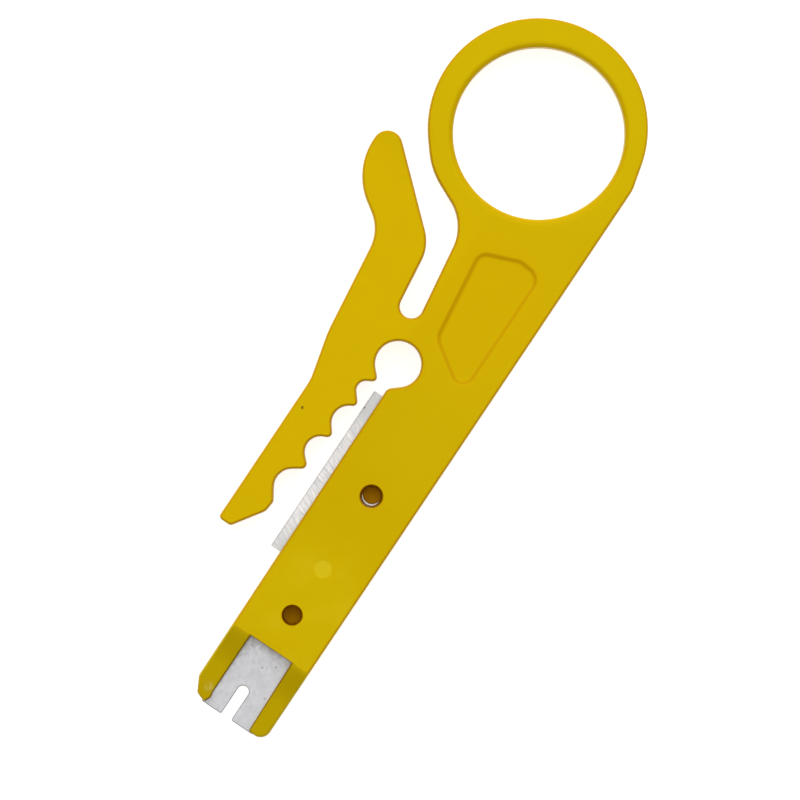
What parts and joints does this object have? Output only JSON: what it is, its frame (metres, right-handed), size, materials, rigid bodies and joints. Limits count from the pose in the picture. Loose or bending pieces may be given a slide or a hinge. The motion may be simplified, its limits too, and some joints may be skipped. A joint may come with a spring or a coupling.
{
  "type": "punch down tool",
  "caption": "Flat plastic punch-down tool: slotted steel tip blade, side stripping blade under a toothed spring jaw, finger ring.",
  "frame": {"origin": "centre of the tool's bounding rectangle, on the plane of its flat back", "axes": "+X along the tool from the punch-down tip to the finger ring, +Y from the handle's straight edge to the jaw lever, +Z out of the front face"},
  "size_m": [0.09, 0.0284, 0.005],
  "materials": {
    "yellow_plastic": "satin moulded plastic",
    "punch_steel": "dull tumbled steel",
    "strip_steel": "ground steel"
  },
  "bodies": {
    "body": {"handle_body": "yellow_plastic", "hinge_web": "yellow_plastic", "punch_blade": "punch_steel", "stripper_blade": "strip_steel"},
    "lever": {"jaw_lever": "yellow_plastic"}
  },
  "joints": [
    {"name": "jaw_hinge", "type": "hinge", "parent": "body", "child": "lever", "pos_m": [0.00414, -0.00131, 0.0025], "axis": [0, 0, -1], "range_deg": [-4.5, 7.5], "stiffness_Nm_per_rad": 1.5, "deforming": ["hinge_web"]}
  ]
}
